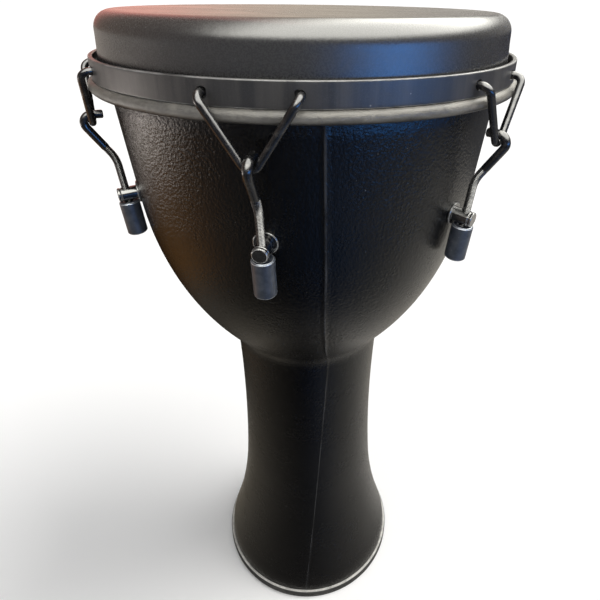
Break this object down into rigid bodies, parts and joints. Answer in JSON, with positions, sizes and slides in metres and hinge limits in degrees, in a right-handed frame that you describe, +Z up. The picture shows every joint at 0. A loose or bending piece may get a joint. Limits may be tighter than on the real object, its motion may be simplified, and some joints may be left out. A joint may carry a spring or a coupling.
{
  "type": "djembe",
  "caption": "Goblet-shaped hand drum with a moulded black shell and a film head tensioned by wire claws, hooked rods and round nuts.",
  "frame": {"origin": "centre of the drum's foot on the floor", "axes": "+Z up along the drum's axis, -Y through the first lug, +X a quarter turn anticlockwise from it"},
  "size_m": [0.327, 0.3478, 0.609],
  "materials": {
    "shell_black": "satin moulded shell with a fine grain",
    "foot_rubber": "matt black rubber",
    "film_black": "satin coated film",
    "flesh_hoop_grey": "dull grey, rubbed",
    "hoop_black": "satin dark grey powder coat",
    "rod_black": "gloss black plating",
    "nut_gunmetal": "satin gunmetal",
    "lug_black": "gloss black",
    "zinc_fixings": "zinc plated"
  },
  "bodies": {
    "drum_shell": {"shell": "shell_black", "foot_ring": "foot_rubber", "lug_post_1": "lug_black", "lug_post_2": "lug_black", "lug_post_3": "lug_black", "lug_post_4": "lug_black", "lug_post_5": "lug_black", "lug_post_6": "lug_black", "lug_plate_1": "lug_black", "lug_plate_2": "lug_black", "lug_plate_3": "lug_black", "lug_plate_4": "lug_black", "lug_plate_5": "lug_black", "lug_plate_6": "lug_black", "lug_bolts": "zinc_fixings", "lug_washers": "zinc_fixings"},
    "head_assembly": {"head_film": "film_black", "flesh_hoop": "flesh_hoop_grey", "counterhoop": "hoop_black", "claw_wire_1": "rod_black", "claw_wire_2": "rod_black", "claw_wire_3": "rod_black", "claw_wire_4": "rod_black", "claw_wire_5": "rod_black", "claw_wire_6": "rod_black"},
    "rod_1": {"tuning_rod_1": "rod_black"},
    "rod_2": {"tuning_rod_2": "rod_black"},
    "rod_3": {"tuning_rod_3": "rod_black"},
    "rod_4": {"tuning_rod_4": "rod_black"},
    "rod_5": {"tuning_rod_5": "rod_black"},
    "rod_6": {"tuning_rod_6": "rod_black"},
    "nut_1": {"tuning_nut_1": "nut_gunmetal"},
    "nut_2": {"tuning_nut_2": "nut_gunmetal"},
    "nut_3": {"tuning_nut_3": "nut_gunmetal"},
    "nut_4": {"tuning_nut_4": "nut_gunmetal"},
    "nut_5": {"tuning_nut_5": "nut_gunmetal"},
    "nut_6": {"tuning_nut_6": "nut_gunmetal"}
  },
  "joints": [
    {"name": "nut_1_turn", "type": "hinge", "parent": "drum_shell", "child": "nut_1", "pos_m": [0, -0.14883, 0.45665], "axis": [0, 0.0993, -0.9951], "range_deg": [0, 2880]},
    {"name": "nut_2_turn", "type": "hinge", "parent": "drum_shell", "child": "nut_2", "pos_m": [0.12889, -0.07442, 0.45665], "axis": [-0.086, 0.0497, -0.9951], "range_deg": [0, 2880]},
    {"name": "nut_3_turn", "type": "hinge", "parent": "drum_shell", "child": "nut_3", "pos_m": [0.12889, 0.07442, 0.45665], "axis": [-0.086, -0.0497, -0.9951], "range_deg": [0, 2880]},
    {"name": "nut_4_turn", "type": "hinge", "parent": "drum_shell", "child": "nut_4", "pos_m": [0, 0.14883, 0.45665], "axis": [0, -0.0993, -0.9951], "range_deg": [0, 2880]},
    {"name": "nut_5_turn", "type": "hinge", "parent": "drum_shell", "child": "nut_5", "pos_m": [-0.12889, 0.07442, 0.45665], "axis": [0.086, -0.0497, -0.9951], "range_deg": [0, 2880]},
    {"name": "nut_6_turn", "type": "hinge", "parent": "drum_shell", "child": "nut_6", "pos_m": [-0.12889, -0.07442, 0.45665], "axis": [0.086, 0.0497, -0.9951], "range_deg": [0, 2880]},
    {"name": "rod_1_draw", "type": "slide", "parent": "drum_shell", "child": "rod_1", "axis": [0, -0.0993, 0.9951], "range_m": [0, 0.008]},
    {"name": "rod_2_draw", "type": "slide", "parent": "drum_shell", "child": "rod_2", "axis": [0.086, -0.0497, 0.9951], "range_m": [0, 0.008]},
    {"name": "rod_3_draw", "type": "slide", "parent": "drum_shell", "child": "rod_3", "axis": [0.086, 0.0497, 0.9951], "range_m": [0, 0.008]},
    {"name": "rod_4_draw", "type": "slide", "parent": "drum_shell", "child": "rod_4", "axis": [0, 0.0993, 0.9951], "range_m": [0, 0.008]},
    {"name": "rod_5_draw", "type": "slide", "parent": "drum_shell", "child": "rod_5", "axis": [-0.086, 0.0497, 0.9951], "range_m": [0, 0.008]},
    {"name": "rod_6_draw", "type": "slide", "parent": "drum_shell", "child": "rod_6", "axis": [-0.086, -0.0497, 0.9951], "range_m": [0, 0.008]},
    {"name": "head_draw", "type": "slide", "parent": "drum_shell", "child": "head_assembly", "axis": [0, 0, 1], "range_m": [0, 0.008]}
  ],
  "couplings": [
    {"joint": "nut_1_turn", "follows": "head_draw", "rad_per_m": 6283.2},
    {"joint": "nut_2_turn", "follows": "head_draw", "rad_per_m": 6283.2},
    {"joint": "nut_3_turn", "follows": "head_draw", "rad_per_m": 6283.2},
    {"joint": "nut_4_turn", "follows": "head_draw", "rad_per_m": 6283.2},
    {"joint": "nut_5_turn", "follows": "head_draw", "rad_per_m": 6283.2},
    {"joint": "nut_6_turn", "follows": "head_draw", "rad_per_m": 6283.2},
    {"joint": "rod_1_draw", "follows": "head_draw", "ratio": 1},
    {"joint": "rod_2_draw", "follows": "head_draw", "ratio": 1},
    {"joint": "rod_3_draw", "follows": "head_draw", "ratio": 1},
    {"joint": "rod_4_draw", "follows": "head_draw", "ratio": 1},
    {"joint": "rod_5_draw", "follows": "head_draw", "ratio": 1},
    {"joint": "rod_6_draw", "follows": "head_draw", "ratio": 1}
  ]
}
